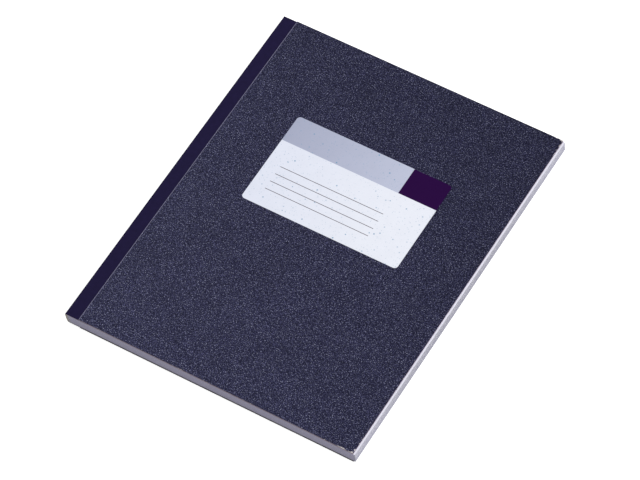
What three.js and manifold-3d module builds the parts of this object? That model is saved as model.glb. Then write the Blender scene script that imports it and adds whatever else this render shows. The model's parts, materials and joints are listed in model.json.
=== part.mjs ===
// Register book: a sewn text block, grained cards cut with it and a cloth tape over the spine.
// Millimetres, +Z up. The book lies closed on its back cover, with the spine at -X, the fore edge at
// +X, the tail at -Y and the head at +Y. The origin is under the middle of the book.
import * as THREE from 'three';
import { mergeVertices } from 'three/addons/utils/BufferGeometryUtils.js';
import Module from 'manifold-3d';

const wasm = await Module();
wasm.setup();

// Format of the closed book. Head and tail are trimmed in one cut, so leaves and cards end flush there.
const BOOK_WIDTH = 165.8;
const BOOK_HEIGHT = 210;
const CORNER_RADIUS = 0.3;
// At the fore edge the leaves stand out past the cards
const LEAVES_PROUD = 1.1;

// Paper and card
const SECTIONS = 5;
const SHEETS_PER_SECTION = 8;
const LEAF_THICKNESS = 0.072;
const LEAVES_PER_PACK = 4;
const ENDPAPER_THICKNESS = 0.1;
const BOARD_THICKNESS = 0.7;
const COVERING_THICKNESS = 0.15;
// Air between pieces that turn on each other
const RUNNING_GAP = 0.02;

// Spine: the fold of the front section stands furthest out and the later ones lean in
const SPINE_LEAN = 0.9;
const SPINE_STEPS = 12;
const TAPE_THICKNESS = 0.2;
const TAPE_SHOWN = 8;
const TAPE_UNDER_BOARD = 5;
const TOOL_OVERREACH = 0.8;
const SHOULDER_DEPTH = 0.45;
const SHOULDER_STEPS = 5;
const GLUE_THICKNESS = 0.35;
const GLUE_GAP = 0.04;
const FOLD_STEPS = 10;
const CENTRE_SLIT = 0.04;

// A turning piece starts this far from its hinge line, clear of what stays on the spine
const TURN_START = 1.4;
const FOLD_CLEARANCE = 0.1;
const SHOULDER_CLEARANCE = 0.2;

// Sewing: one thread for each needle
const THREADS = 4;
const STITCH_LENGTH = 22;
const STITCH_SPACING = 50;
const THREAD_DIAMETER = 0.22;
const THREAD_CLEARANCE = 0.03;
const THREAD_SIDES = 6;
const THREAD_TAIL = 3;
const THREAD_BEND = 0.18;
// The share of the way from the chord of a bend to its corner that the thread takes
const BEND_FULLNESS = 0.41;
// How far the thread's outer runs stand behind the folds
const THREAD_PROUD = 0.1;

// Title label
const LABEL_WIDTH = 90;
const LABEL_HEIGHT = 56.8;
const LABEL_THICKNESS = 0.08;
const LABEL_RADIUS = 2;
const LABEL_FROM_SPINE = 39.8;
const LABEL_FROM_HEAD = 51.7;
const LABEL_CORNER_STEPS = 6;
const TRIMMED_CORNER_STEPS = 3;
// Corners closer than this are one corner
const MERGE_DISTANCE = 1e-5;

const COLOURS = {
  covering: '#33344b',
  board: '#6d6257',
  tape: '#211c3b',
  leaf: '#e9e9ee',
  endpaper: '#eeeef0',
  label: '#e3e7ef',
  thread: '#e8e4d8',
  glue: '#d9cfae',
};

// Levels from the table up
const coverThickness = COVERING_THICKNESS + BOARD_THICKNESS + ENDPAPER_THICKNESS;
const sectionThickness = 2 * SHEETS_PER_SECTION * LEAF_THICKNESS;
const rearHingeZ = coverThickness;
const blockBottom = rearHingeZ + ENDPAPER_THICKNESS;
const blockTop = blockBottom + SECTIONS * sectionThickness;
const frontHingeZ = blockTop + ENDPAPER_THICKNESS;
const bookThickness = frontHingeZ + coverThickness;

// Places across the book
const foreEdgeX = BOOK_WIDTH / 2;
const cardEdgeX = foreEdgeX - LEAVES_PROUD;
const tailY = -BOOK_HEIGHT / 2;
const boardEdgeX = -BOOK_WIDTH / 2 + TAPE_SHOWN;
const flapEdgeX = boardEdgeX + TAPE_UNDER_BOARD;

// The outer face of the spine at a height: a parabola that stands upright at the front cover
function spineX(z) {
  const below = (frontHingeZ - z) / (frontHingeZ - rearHingeZ);
  return -BOOK_WIDTH / 2 + SPINE_LEAN * below * below;
}

// The depth of each layer behind the outer face of the spine
const glueDepth = TAPE_THICKNESS + GLUE_GAP;
const foldDepth = glueDepth + GLUE_THICKNESS + GLUE_GAP;

const frontHingeX = spineX(frontHingeZ) + SHOULDER_DEPTH;
const rearHingeX = spineX(rearHingeZ) + SHOULDER_DEPTH;
const foldWidth = TURN_START - FOLD_CLEARANCE;
const shoulderWidth = TURN_START - SHOULDER_CLEARANCE;

const group = new THREE.Group();

function addMesh(name, geometry, colour, roughness) {
  const material = new THREE.MeshStandardMaterial({ color: colour, roughness, metalness: 0 });
  const mesh = new THREE.Mesh(geometry, material);
  mesh.name = name;
  group.add(mesh);
  return mesh;
}

function toSolid(geometry) {
  const plain = geometry.index ? geometry.clone() : geometry;
  plain.deleteAttribute('normal');
  plain.deleteAttribute('uv');
  const merged = mergeVertices(plain, MERGE_DISTANCE);
  const vertProperties = new Float32Array(merged.attributes.position.array);
  const triVerts = new Uint32Array(merged.index.array);
  return new wasm.Manifold(new wasm.Mesh({ numProp: 3, vertProperties, triVerts }));
}

function toGeometry(solid) {
  const mesh = solid.getMesh();
  const geometry = new THREE.BufferGeometry();
  geometry.setAttribute('position', new THREE.BufferAttribute(mesh.vertProperties, 3));
  geometry.setIndex(new THREE.BufferAttribute(mesh.triVerts, 1));
  geometry.computeVertexNormals();
  return geometry;
}

// A flat piece from a left edge to its trimmed right edge, between two heights
function trimmedSlab(left, right, bottom, top) {
  const halfHeight = BOOK_HEIGHT / 2;
  const cornerX = right - CORNER_RADIUS;
  const cornerY = halfHeight - CORNER_RADIUS;
  const shape = new THREE.Shape();
  shape.moveTo(left, -halfHeight);
  shape.lineTo(cornerX, -halfHeight);
  shape.absarc(cornerX, -cornerY, CORNER_RADIUS, -Math.PI / 2, 0);
  shape.lineTo(right, cornerY);
  shape.absarc(cornerX, cornerY, CORNER_RADIUS, 0, Math.PI / 2);
  shape.lineTo(left, halfHeight);
  shape.closePath();
  const options = { depth: top - bottom, bevelEnabled: false, curveSegments: TRIMMED_CORNER_STEPS };
  return new THREE.ExtrudeGeometry(shape, options).translate(0, 0, bottom);
}

// A section drawn in X and Z and carried from the tail to the head
function alongSpine(points) {
  const options = { depth: BOOK_HEIGHT, bevelEnabled: false };
  const geometry = new THREE.ExtrudeGeometry(new THREE.Shape(points), options);
  return geometry.rotateX(Math.PI / 2).translate(0, -tailY, 0);
}

function point(x, z) {
  return new THREE.Vector2(x, z);
}

// Points down the spine at one depth behind its outer face, between two heights
function spineLine(depth, top, bottom) {
  const line = [];
  for (let step = 0; step <= SPINE_STEPS; step += 1) {
    const z = top + ((bottom - top) * step) / SPINE_STEPS;
    line.push(point(spineX(z) + depth, z));
  }
  return line;
}

// A quarter of an ellipse round a hinge line, from the flat of the cover to the back of the spine
function shoulder(hingeX, hingeZ, acrossRadius, upRadius) {
  const arc = [];
  for (let step = 0; step < SHOULDER_STEPS; step += 1) {
    const angle = (Math.PI / 2) * (step / SHOULDER_STEPS);
    arc.push(point(hingeX - acrossRadius * Math.sin(angle), hingeZ + upRadius * Math.cos(angle)));
  }
  return arc;
}

// The tape's own part on the spine: it wraps over both shoulders and stops where the flaps start
function spineTape() {
  const inner = ENDPAPER_THICKNESS;
  const outer = inner + TAPE_THICKNESS;
  const innerDepth = SHOULDER_DEPTH - TAPE_THICKNESS;
  const outline = [
    point(frontHingeX + shoulderWidth, frontHingeZ + outer),
    ...shoulder(frontHingeX, frontHingeZ, SHOULDER_DEPTH, outer),
    ...spineLine(0, frontHingeZ, rearHingeZ),
    ...shoulder(rearHingeX, rearHingeZ, SHOULDER_DEPTH, -outer).reverse(),
    point(rearHingeX + shoulderWidth, rearHingeZ - outer),
    point(rearHingeX + shoulderWidth, rearHingeZ - inner),
    ...shoulder(rearHingeX, rearHingeZ, innerDepth, -inner),
    ...spineLine(TAPE_THICKNESS, rearHingeZ, frontHingeZ),
    ...shoulder(frontHingeX, frontHingeZ, innerDepth, inner).reverse(),
    point(frontHingeX + shoulderWidth, frontHingeZ + inner),
  ];
  return alongSpine(outline);
}

// The glue film between the folds and the tape, before the threads' grooves
function spineGlue() {
  return alongSpine([
    ...spineLine(glueDepth, blockTop, blockBottom),
    ...spineLine(glueDepth + GLUE_THICKNESS, blockBottom, blockTop),
  ]);
}

// The rounded back of folded paper, from its top face to its bottom face
function foldedBack(backX, middleZ, halfThickness) {
  const arc = [];
  for (let step = 0; step <= FOLD_STEPS; step += 1) {
    const angle = Math.PI / 2 + (Math.PI * step) / FOLD_STEPS;
    const x = backX + halfThickness * (1 + Math.cos(angle));
    arc.push(point(x, middleZ + halfThickness * Math.sin(angle)));
  }
  return arc;
}

function sectionMiddle(section) {
  return blockTop - (section + 0.5) * sectionThickness;
}

function sectionBack(section) {
  return spineX(sectionMiddle(section)) + foldDepth;
}

// The front half of a leaf stack turns about the front hinge, and the rear half about the rear one
function hingeXOfLeaf(leaf) {
  return leaf < SECTIONS * SHEETS_PER_SECTION ? frontHingeX : rearHingeX;
}

// The nested folds of one section, open between the two innermost leaves
function sectionFold(section) {
  const middle = sectionMiddle(section);
  const half = sectionThickness / 2;
  const back = sectionBack(section);
  const firstLeaf = section * 2 * SHEETS_PER_SECTION;
  const lastLeaf = firstLeaf + 2 * SHEETS_PER_SECTION - 1;
  const frontEnd = hingeXOfLeaf(firstLeaf) + foldWidth;
  const rearEnd = hingeXOfLeaf(lastLeaf) + foldWidth;
  return alongSpine([
    point(frontEnd, middle + half),
    ...foldedBack(back, middle, half),
    point(rearEnd, middle - half),
    point(rearEnd, middle - CENTRE_SLIT / 2),
    point(back + half, middle - CENTRE_SLIT / 2),
    point(back + half, middle + CENTRE_SLIT / 2),
    point(frontEnd, middle + CENTRE_SLIT / 2),
  ]);
}

// The fold that joins a flyleaf to its pastedown
function endpaperFold(hingeX, hingeZ) {
  const back = spineX(hingeZ) + foldDepth;
  return alongSpine([
    point(hingeX + foldWidth, hingeZ + ENDPAPER_THICKNESS),
    ...foldedBack(back, hingeZ, ENDPAPER_THICKNESS),
    point(hingeX + foldWidth, hingeZ - ENDPAPER_THICKNESS),
  ]);
}

// A thread's way through a list of corners, each cut off by a short bend
class ThreadPath extends THREE.Curve {
  constructor(corners) {
    super();
    this.stops = [corners[0]];
    for (let i = 1; i < corners.length - 1; i += 1) {
      this.stops.push(...this.bend(corners[i - 1], corners[i], corners[i + 1]));
    }
    this.stops.push(corners[corners.length - 1]);
  }

  // Three points round a corner, the middle one drawn in towards the inside of the bend
  bend(before, corner, after) {
    const start = corner.clone().add(before.clone().sub(corner).setLength(THREAD_BEND));
    const end = corner.clone().add(after.clone().sub(corner).setLength(THREAD_BEND));
    const middle = start.clone().add(end).multiplyScalar(0.5).lerp(corner, BEND_FULLNESS);
    return [start, middle, end];
  }

  getPoint(t, target = new THREE.Vector3()) {
    const place = t * (this.stops.length - 1);
    const index = Math.min(Math.floor(place), this.stops.length - 2);
    return target.lerpVectors(this.stops[index], this.stops[index + 1], place - index);
  }

  // The stops are the rings of the tube, so equal steps go from stop to stop
  getPointAt(t, target) {
    return this.getPoint(t, target);
  }

  getTangentAt(t, target = new THREE.Vector3()) {
    const index = Math.round(t * (this.stops.length - 1));
    const before = this.stops[Math.max(index - 1, 0)];
    const after = this.stops[Math.min(index + 1, this.stops.length - 1)];
    return target.subVectors(after, before).normalize();
  }
}

// One thread goes in through a hole, along the inside of the fold, out through the next hole and
// on to the next section, back and forth from the front section to the rear one
function threadPath(stitch) {
  const middleY = (stitch - (THREADS - 1) / 2) * STITCH_SPACING;
  const ends = [middleY - STITCH_LENGTH / 2, middleY + STITCH_LENGTH / 2];
  const corners = [];
  for (let section = 0; section < SECTIONS; section += 1) {
    const [from, to] = section % 2 === 0 ? ends : [...ends].reverse();
    const z = sectionMiddle(section);
    const outside = sectionBack(section) - THREAD_PROUD;
    const inside = sectionBack(section) + sectionThickness / 2 + THREAD_DIAMETER / 2;
    if (section === 0) {
      corners.push(new THREE.Vector3(outside, from - THREAD_TAIL, z));
    }
    corners.push(new THREE.Vector3(outside, from, z));
    corners.push(new THREE.Vector3(inside, from, z));
    corners.push(new THREE.Vector3(inside, to, z));
    corners.push(new THREE.Vector3(outside, to, z));
    if (section === SECTIONS - 1) {
      corners.push(new THREE.Vector3(outside, to + Math.sign(to - from) * THREAD_TAIL, z));
    }
  }
  return new ThreadPath(corners);
}

function threadTube(stitch, radius) {
  const path = threadPath(stitch);
  const shape = new THREE.Shape();
  for (let side = 0; side < THREAD_SIDES; side += 1) {
    const angle = (2 * Math.PI * side) / THREAD_SIDES;
    const x = radius * Math.cos(angle);
    const y = radius * Math.sin(angle);
    if (side === 0) {
      shape.moveTo(x, y);
    } else {
      shape.lineTo(x, y);
    }
  }
  shape.closePath();
  const options = { steps: path.stops.length - 1, bevelEnabled: false, extrudePath: path };
  return new THREE.ExtrudeGeometry(shape, options);
}

// The label lies on the covering paper, with its corners rounded by the die
function titleLabel() {
  const left = -BOOK_WIDTH / 2 + LABEL_FROM_SPINE;
  const top = BOOK_HEIGHT / 2 - LABEL_FROM_HEAD;
  const right = left + LABEL_WIDTH;
  const bottom = top - LABEL_HEIGHT;
  const r = LABEL_RADIUS;
  const shape = new THREE.Shape();
  shape.moveTo(left + r, bottom);
  shape.lineTo(right - r, bottom);
  shape.absarc(right - r, bottom + r, r, -Math.PI / 2, 0);
  shape.lineTo(right, top - r);
  shape.absarc(right - r, top - r, r, 0, Math.PI / 2);
  shape.lineTo(left + r, top);
  shape.absarc(left + r, top - r, r, Math.PI / 2, Math.PI);
  shape.lineTo(left, bottom + r);
  shape.absarc(left + r, bottom + r, r, Math.PI, 1.5 * Math.PI);
  const options = { depth: LABEL_THICKNESS, bevelEnabled: false, curveSegments: LABEL_CORNER_STEPS };
  return new THREE.ExtrudeGeometry(shape, options).translate(0, 0, bookThickness);
}

// A board is pressed over the hidden edge of the tape, so its inner face steps back there. The
// tool that presses the bed reaches past the board at its open sides.
function coverBoard(innerZ, outerZ) {
  const outward = Math.sign(outerZ - innerZ);
  const board = toSolid(trimmedSlab(boardEdgeX, cardEdgeX, ...[innerZ, outerZ].sort((a, b) => a - b)));
  const bedWidth = TAPE_UNDER_BOARD + TOOL_OVERREACH;
  const bedLength = BOOK_HEIGHT + 2 * TOOL_OVERREACH;
  const bedDepth = TAPE_THICKNESS + TOOL_OVERREACH;
  const bed = new THREE.BoxGeometry(bedWidth, bedLength, bedDepth);
  bed.translate(flapEdgeX - bedWidth / 2, 0, innerZ + outward * (TAPE_THICKNESS - bedDepth / 2));
  return toGeometry(board.subtract(toSolid(bed)));
}

// One cover: the grained paper outside, the board, the tape's flap and the pastedown inside
function addCover(side, hingeX, hingeZ, outward) {
  const between = (from, to) => [hingeZ + outward * from, hingeZ + outward * to].sort((a, b) => a - b);
  const inner = hingeX + TURN_START;
  const boardStart = ENDPAPER_THICKNESS;
  const boardEnd = boardStart + BOARD_THICKNESS;
  const pastedown = trimmedSlab(inner, foreEdgeX, ...between(0, boardStart));
  addMesh(`${side}_pastedown`, pastedown, COLOURS.endpaper, 0.9);
  const board = coverBoard(hingeZ + outward * boardStart, hingeZ + outward * boardEnd);
  addMesh(`${side}_board`, board, COLOURS.board, 0.95);
  const covering = trimmedSlab(boardEdgeX, cardEdgeX, ...between(boardEnd, coverThickness));
  addMesh(`${side}_covering`, covering, COLOURS.covering, 0.55);
  const [flapBottom, flapTop] = between(boardStart, boardStart + TAPE_THICKNESS);
  const flap = new THREE.BoxGeometry(flapEdgeX - inner, BOOK_HEIGHT, TAPE_THICKNESS);
  flap.translate((inner + flapEdgeX) / 2, 0, (flapBottom + flapTop) / 2);
  addMesh(`${side}_tape_flap`, flap, COLOURS.tape, 0.8);
}

addCover('back', rearHingeX, rearHingeZ, -1);
addCover('front', frontHingeX, frontHingeZ, 1);
addMesh('title_label', titleLabel(), COLOURS.label, 0.6);

// The spine, with room for the threads in the folds and in the glue
const threadRooms = [];
for (let stitch = 0; stitch < THREADS; stitch += 1) {
  const radius = THREAD_DIAMETER / 2;
  addMesh(`sewing_thread_${stitch + 1}`, threadTube(stitch, radius), COLOURS.thread, 0.7);
  threadRooms.push(toSolid(threadTube(stitch, radius + THREAD_CLEARANCE)));
}

function withThreadRoom(geometry) {
  let solid = toSolid(geometry);
  for (const room of threadRooms) {
    solid = solid.subtract(room);
  }
  return toGeometry(solid);
}

for (let section = 0; section < SECTIONS; section += 1) {
  addMesh(`section_${section + 1}_fold`, withThreadRoom(sectionFold(section)), COLOURS.leaf, 0.9);
}
addMesh('front_endpaper_fold', endpaperFold(frontHingeX, frontHingeZ), COLOURS.endpaper, 0.9);
addMesh('rear_endpaper_fold', endpaperFold(rearHingeX, rearHingeZ), COLOURS.endpaper, 0.9);
addMesh('spine_glue', withThreadRoom(spineGlue()), COLOURS.glue, 0.5);
addMesh('spine_tape', spineTape(), COLOURS.tape, 0.8);

// Every turning piece of paper is thinner than its place by the running gap
function turningPaper(hingeX, bottom, top) {
  const gap = RUNNING_GAP / 2;
  return trimmedSlab(hingeX + TURN_START, foreEdgeX, bottom + gap, top - gap);
}

const frontFlyleaf = turningPaper(frontHingeX, blockTop, frontHingeZ);
addMesh('front_flyleaf', frontFlyleaf, COLOURS.endpaper, 0.9);
const rearFlyleaf = turningPaper(rearHingeX, rearHingeZ, blockBottom);
addMesh('rear_flyleaf', rearFlyleaf, COLOURS.endpaper, 0.9);

// The leaves from the front of the book to the back, a few to a pack
const packs = (2 * SECTIONS * SHEETS_PER_SECTION) / LEAVES_PER_PACK;
const packThickness = LEAVES_PER_PACK * LEAF_THICKNESS;
for (let pack = 0; pack < packs; pack += 1) {
  const top = blockTop - pack * packThickness;
  const hingeX = hingeXOfLeaf(pack * LEAVES_PER_PACK);
  const name = `leaves_${String(pack + 1).padStart(2, '0')}`;
  addMesh(name, turningPaper(hingeX, top - packThickness, top), COLOURS.leaf, 0.9);
}

export default group;
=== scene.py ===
import json
import math

import bpy
import numpy as np
from mathutils import Matrix, Vector


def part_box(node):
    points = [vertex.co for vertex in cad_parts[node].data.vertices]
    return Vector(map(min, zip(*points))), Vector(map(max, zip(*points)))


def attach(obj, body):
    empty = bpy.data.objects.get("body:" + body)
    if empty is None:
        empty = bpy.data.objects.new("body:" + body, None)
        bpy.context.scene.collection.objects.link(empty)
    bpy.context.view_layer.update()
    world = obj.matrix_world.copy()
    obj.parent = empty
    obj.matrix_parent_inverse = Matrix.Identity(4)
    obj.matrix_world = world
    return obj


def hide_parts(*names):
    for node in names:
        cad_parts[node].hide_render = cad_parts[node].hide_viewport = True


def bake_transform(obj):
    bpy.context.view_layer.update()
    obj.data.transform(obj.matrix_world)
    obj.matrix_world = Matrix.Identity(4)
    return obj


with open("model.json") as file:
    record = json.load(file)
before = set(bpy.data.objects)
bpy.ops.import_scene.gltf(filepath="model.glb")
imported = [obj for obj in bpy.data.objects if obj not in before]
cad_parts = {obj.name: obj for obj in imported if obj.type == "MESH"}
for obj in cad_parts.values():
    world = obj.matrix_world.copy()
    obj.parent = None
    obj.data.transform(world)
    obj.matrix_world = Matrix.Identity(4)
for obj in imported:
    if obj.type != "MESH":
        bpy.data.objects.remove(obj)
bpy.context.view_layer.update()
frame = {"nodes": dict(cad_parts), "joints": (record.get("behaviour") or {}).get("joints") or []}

MM = 0.001


# Sewing threads. Four lengths of bleached linen, two plies twisted together and waxed, that bind
# the folded sections to each other. Each runs in and out of the folds from the front to the rear.
SEWING_THREADS = 4
# The bands of the plies, by the scale of their texture, with how they slant, waver and stand out
PLY_BANDS = 100
PLY_SLANT = (0.6, 0.3, 0.8)
PLY_WAVER = 1.5
PLY_DEPTH = 0.03 * MM
THREAD_FIBRES = 9000


def colour(red, green, blue):
    """The linear colour of a display colour from 0 to 255, by the curve of the sRGB standard."""
    display = np.array([red, green, blue]) / 255
    linear = np.where(display <= 0.04045, display / 12.92, ((display + 0.055) / 1.055) ** 2.4)
    return (*linear.tolist(), 1.0)


def add_node(tree, kind, sockets=None, **settings):
    """Adds a shader node. A socket takes a value, or is joined to another node's output."""
    node = tree.nodes.new(kind)
    for name, value in settings.items():
        setattr(node, name, value)
    for name, value in (sockets or {}).items():
        if isinstance(value, bpy.types.NodeSocket):
            tree.links.new(value, node.inputs[name])
        else:
            node.inputs[name].default_value = value
    return node


def calculate(tree, operation, first, second=0.0, third=0.0, clamp=False):
    """One step of arithmetic on numbers, sockets or both."""
    sockets = {0: first, 1: second, 2: third}
    node = add_node(tree, "ShaderNodeMath", sockets, operation=operation, use_clamp=clamp)
    return node.outputs[0]


def blend_colours(tree, mask, plain, marked):
    """The plain colour where the mask is 0 and the marked one where it is 1. A Mix node has its
    colours at inputs 6 and 7 and at output 2."""
    node = add_node(tree, "ShaderNodeMix", {0: mask, 6: plain, 7: marked}, data_type="RGBA")
    return node.outputs[2]


def tint(tree, shade, strength):
    """A colour made lighter or darker by a number that stays near 1."""
    grey = add_node(tree, "ShaderNodeCombineColor", {0: strength, 1: strength, 2: strength})
    sockets = {0: 1.0, 6: shade, 7: grey.outputs[0]}
    node = add_node(tree, "ShaderNodeMix", sockets, data_type="RGBA", blend_type="MULTIPLY")
    return node.outputs[2]


def start_material(name, roughness):
    """A material with its Principled BSDF: (material, its nodes, the shader)."""
    material = bpy.data.materials.new(name)
    material.use_nodes = True
    shader = material.node_tree.nodes["Principled BSDF"]
    shader.inputs["Roughness"].default_value = roughness
    return material, material.node_tree, shader


def raise_surface(tree, shader, height, distance):
    """Shades the surface as if it rose by the distance where the height is 1."""
    sockets = {"Height": height, "Distance": distance, "Strength": 1.0}
    bump = add_node(tree, "ShaderNodeBump", sockets)
    tree.links.new(bump.outputs["Normal"], shader.inputs["Normal"])


def linen_thread():
    """Twisted plies as slanting bands, darker between them as painted shade, with loose fibres as
    fine noise along them.
    """
    material, tree, shader = start_material("linen_thread", roughness=0.7)
    place = add_node(tree, "ShaderNodeTexCoord").outputs["Object"]
    slant = add_node(tree, "ShaderNodeMapping", {"Vector": place, "Rotation": PLY_SLANT})
    sockets = {"Vector": slant.outputs[0], "Scale": PLY_BANDS, "Distortion": PLY_WAVER}
    plies = add_node(tree, "ShaderNodeTexWave", sockets)
    fibres = add_node(tree, "ShaderNodeTexNoise", {"Vector": place, "Scale": THREAD_FIBRES})
    twist = calculate(tree, "MULTIPLY", plies.outputs["Fac"], fibres.outputs["Fac"])
    # The grooves between the plies are darker: painted shade
    painted_shade_between_plies = colour(196, 188, 168)
    bleached_linen = colour(240, 235, 222)
    shade = blend_colours(tree, twist, painted_shade_between_plies, bleached_linen)
    tree.links.new(shade, shader.inputs["Base Color"])
    raise_surface(tree, shader, twist, PLY_DEPTH)
    return material


def finish_node(name, material):
    """Gives a CAD node its finish."""
    for slot in frame["nodes"][name].material_slots:
        slot.material = material


thread_finish = linen_thread()
for number in range(1, SEWING_THREADS + 1):
    finish_node(f"sewing_thread_{number}", thread_finish)


# Folded sections. Sheets of writing paper are folded and nested eight deep, and five of these
# sections make the block. Only the folds belong here; the leaves, which turn with the covers in the
# book, come next.
SECTIONS = 5
SHEET_PITCH = 0.072 * MM
# The painted shadow between two sheets fades out over this share of the pitch
GAP_SHADOW = 0.2
FOLD_RELIEF = 0.01 * MM


def start_group(name, inputs, outputs):
    """A shader node group with named sockets: (group, its inputs, its outputs)."""
    group = bpy.data.node_groups.new(name, "ShaderNodeTree")
    for socket, value in inputs.items():
        kind = "NodeSocketVector" if isinstance(value, tuple) else "NodeSocketFloat"
        group.interface.new_socket(socket, in_out="INPUT", socket_type=kind).default_value = value
    for socket in outputs:
        group.interface.new_socket(socket, in_out="OUTPUT", socket_type="NodeSocketFloat")
    given = group.nodes.new("NodeGroupInput").outputs
    made = group.nodes.new("NodeGroupOutput").inputs
    return group, given, made


def paper_fibre_group():
    """Cloudy paper: a coarse noise for the formation and a fine one for the fibres."""
    inputs = {
        "Place": (0.0, 0.0, 0.0),
        "Cloud Scale": 150.0,
        "Fibre Scale": 2500.0,
        "Contrast": 0.05,
    }
    group, given, made = start_group("paper_fibre", inputs, ["Tone", "Height"])
    sockets = {"Vector": given["Place"], "Scale": given["Cloud Scale"]}
    cloud = add_node(group, "ShaderNodeTexNoise", sockets)
    sockets = {"Vector": given["Place"], "Scale": given["Fibre Scale"], "Detail": 4.0}
    fibre = add_node(group, "ShaderNodeTexNoise", sockets)
    both = calculate(group, "ADD", cloud.outputs["Fac"], fibre.outputs["Fac"])
    spread = calculate(group, "SUBTRACT", both, 1.0)
    tone = calculate(group, "MULTIPLY_ADD", spread, given["Contrast"], 1.0)
    group.links.new(tone, made["Tone"])
    group.links.new(fibre.outputs["Fac"], made["Height"])
    return group


def nested_sheets_group():
    """Lines between nested sheets: the distance from the inside of the fold, wrapped at the
    pitch, and dark where it is near to a whole number of sheets."""
    inputs = {"Place": (0.0, 0.0, 0.0), "Fold X": 0.0, "Fold Z": 0.0, "Pitch": SHEET_PITCH}
    group, given, made = start_group("nested_sheets", inputs, ["Line"])
    axes = add_node(group, "ShaderNodeSeparateXYZ", {0: given["Place"]})
    behind = calculate(group, "SUBTRACT", axes.outputs["X"], given["Fold X"])
    behind = calculate(group, "MINIMUM", behind, 0.0)
    above = calculate(group, "SUBTRACT", axes.outputs["Z"], given["Fold Z"])
    squares = calculate(group, "MULTIPLY", behind, behind)
    squares = calculate(group, "MULTIPLY_ADD", above, above, squares)
    sheet = calculate(group, "DIVIDE", calculate(group, "SQRT", squares), given["Pitch"])
    nearest = calculate(group, "PINGPONG", sheet, 0.5)
    line = calculate(group, "MULTIPLY_ADD", nearest, -1 / GAP_SHADOW, 1.0, clamp=True)
    group.links.new(line, made["Line"])
    return group


paper_fibre = paper_fibre_group()
nested_sheets = nested_sheets_group()


def add_fibres(tree, shader, place, shade, contrast, relief):
    """Makes a shade into paper: its lightness follows the formation, and the fibres raise it."""
    sockets = {"Place": place, "Contrast": contrast}
    fibre = add_node(tree, "ShaderNodeGroup", sockets, node_tree=paper_fibre)
    tree.links.new(tint(tree, shade, fibre.outputs["Tone"]), shader.inputs["Base Color"])
    raise_surface(tree, shader, fibre.outputs["Height"], relief)


def folded_paper(name, fold_x, fold_z):
    """Writing paper seen at its folds, with a thin painted shadow between one sheet and the next.
    """
    material, tree, shader = start_material(name, roughness=0.85)
    place = add_node(tree, "ShaderNodeTexCoord").outputs["Object"]
    sockets = {"Place": place, "Fold X": fold_x, "Fold Z": fold_z}
    lines = add_node(tree, "ShaderNodeGroup", sockets, node_tree=nested_sheets)
    sheet = colour(206, 203, 214)
    # Painted shadow between one sheet and the next
    gap = colour(120, 116, 132)
    shade = blend_colours(tree, lines.outputs["Line"], sheet, gap)
    add_fibres(tree, shader, place, shade, contrast=0.1, relief=FOLD_RELIEF)
    return material


for number in range(1, SECTIONS + 1):
    fold = f"section_{number}_fold"
    low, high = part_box(fold)
    fold_z = (low.z + high.z) / 2
    fold_x = low.x + (high.z - low.z) / 2
    finish_node(fold, folded_paper(f"folded_paper_{number}", fold_x, fold_z))


# Leaves. Each is a sheet of feint ruled paper of 70 g, trimmed with the covers at head and tail,
# and standing out past them at the fore edge. They lie in packs of four; in the book a pack bends
# beside the fold that holds it when it is turned, and here each has close steps there.
LEAVES_PER_PACK = 4
FRONT_PACKS = 10
LEAF_THICKNESS = 0.067 * MM
FOLD_GAP = 0.09 * MM
LEAF_BEND = 3.6 * MM
PAPER_RELIEF = 0.012 * MM
RULING_PITCH = 8 * MM
RULING_WIDTH = 0.22 * MM
HEAD_MARGIN = 22 * MM
TAIL_MARGIN = 12 * MM
SIDE_MARGIN = 6 * MM
# The corners at the fore edge are trimmed round, and the knife leaves the leaves a little uneven
TRIM_RADIUS = 0.3 * MM
TRIM_UNEVEN = 0.035 * MM
# The fore edge leans: its top leaves lie this far back, and those below this depth not at all
FORE_EDGE_LEAN = 0.3 * MM
LEAN_DEPTH = 3.5 * MM
# A sheet edge's lightness is from this to 1, and at head and tail the lowest leaves get painted
# shade, darkest next to the back board
DARKEST_SHEET_TONE = 0.86
BOTTOM_SHADE_REACH = 0.35 * MM
BOTTOM_SHADE_STRENGTH = 0.65
# The fore edge is greyed most at its middle, by this share, and not at all this far from it
FORE_EDGE_GREY = colour(191, 189, 212)
GREYING_DEPTH = 0.24
GREYING_REACH = 90 * MM
# A sheet's mesh has these rows, and these columns over its bend, its flat part and its corner,
# each counted with both of its ends
SHEET_ROWS = 3
BEND_COLUMNS = 22
FLAT_COLUMNS = 6
CORNER_COLUMNS = 5
SMOOTH_UP_TO = math.radians(35)
uneven = np.random.default_rng(11)


def leaned_edge(fore_edge, height):
    """The fore edge at a height: it runs back with the square of the rise above the lean's foot."""
    rise = max(0.0, height - (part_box("front_flyleaf")[1].z - LEAN_DEPTH)) / LEAN_DEPTH
    return fore_edge - FORE_EDGE_LEAN * min(rise, 1.0) ** 2


def trimmed_columns(start, bend_end, fore_edge, half_height):
    """Places across a sheet and its half height at each: close steps where it bends, and then a
    quarter circle, by its sine and cosine, where the fore edge corners are trimmed round."""
    corner = np.linspace(0, math.pi / 2, CORNER_COLUMNS)
    bending = np.linspace(start, bend_end, BEND_COLUMNS)
    flat = np.linspace(bend_end, fore_edge - TRIM_RADIUS, FLAT_COLUMNS)[1:-1]
    across = np.concatenate([bending, flat, fore_edge - TRIM_RADIUS + TRIM_RADIUS * np.sin(corner)])
    half = np.full(len(across), half_height)
    half[-len(corner):] += TRIM_RADIUS * (np.cos(corner) - 1)
    return across, half


def flat_grid(across, half, height):
    """A level grid, rows by columns: each row is the same share of the half height at a column."""
    share = np.linspace(-1, 1, SHEET_ROWS)[:, None]
    level = np.full((SHEET_ROWS, len(across)), float(height))
    return np.stack([np.broadcast_to(across, level.shape), share * half, level], -1)


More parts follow.
